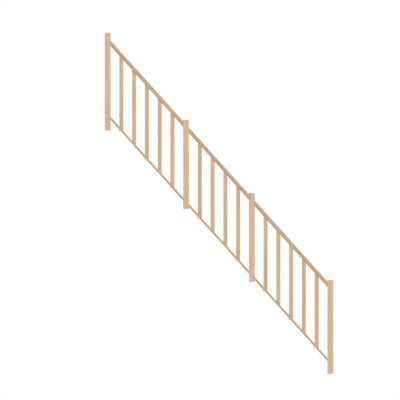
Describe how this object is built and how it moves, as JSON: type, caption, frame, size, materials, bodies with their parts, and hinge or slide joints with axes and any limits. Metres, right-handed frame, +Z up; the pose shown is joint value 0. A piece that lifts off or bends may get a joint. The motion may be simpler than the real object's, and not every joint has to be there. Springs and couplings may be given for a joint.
{
  "type": "stair balustrade panel",
  "caption": "Raked timber stair balustrade with square posts, rounded handrail, thin base rail and plain square balusters, for guarding the open side of a steep straight flight.",
  "frame": {"origin": "centre of the bottom newel post's foot", "axes": "+X horizontally down the stair, +Y through the panel away from the picture's viewer, +Z up"},
  "size_m": [2.521, 0.064, 3.767],
  "materials": {
    "post_beech": "planed beech, clear satin oil",
    "handrail_beech": "planed beech, clear satin oil",
    "base_rail_beech": "planed beech, clear satin oil",
    "baluster_beech": "planed beech, clear satin oil",
    "fillet_beech": "planed beech, clear satin oil",
    "screw_steel": "bright zinc plate"
  },
  "bodies": {
    "root": {"top_newel_post": "post_beech", "upper_post": "post_beech", "lower_post": "post_beech", "bottom_newel_post": "post_beech", "upper_handrail": "handrail_beech", "upper_base_rail": "base_rail_beech", "upper_handrail_fillets": "fillet_beech", "upper_base_rail_fillets": "fillet_beech", "upper_baluster_1": "baluster_beech", "upper_baluster_2": "baluster_beech", "upper_baluster_3": "baluster_beech", "upper_baluster_4": "baluster_beech", "upper_baluster_5": "baluster_beech", "middle_handrail": "handrail_beech", "middle_base_rail": "base_rail_beech", "middle_handrail_fillets": "fillet_beech", "middle_base_rail_fillets": "fillet_beech", "middle_baluster_1": "baluster_beech", "middle_baluster_2": "baluster_beech", "middle_baluster_3": "baluster_beech", "middle_baluster_4": "baluster_beech", "lower_handrail": "handrail_beech", "lower_base_rail": "base_rail_beech", "lower_handrail_fillets": "fillet_beech", "lower_base_rail_fillets": "fillet_beech", "lower_baluster_1": "baluster_beech", "lower_baluster_2": "baluster_beech", "lower_baluster_3": "baluster_beech", "lower_baluster_4": "baluster_beech", "lower_baluster_5": "baluster_beech"}
  },
  "joints": []
}
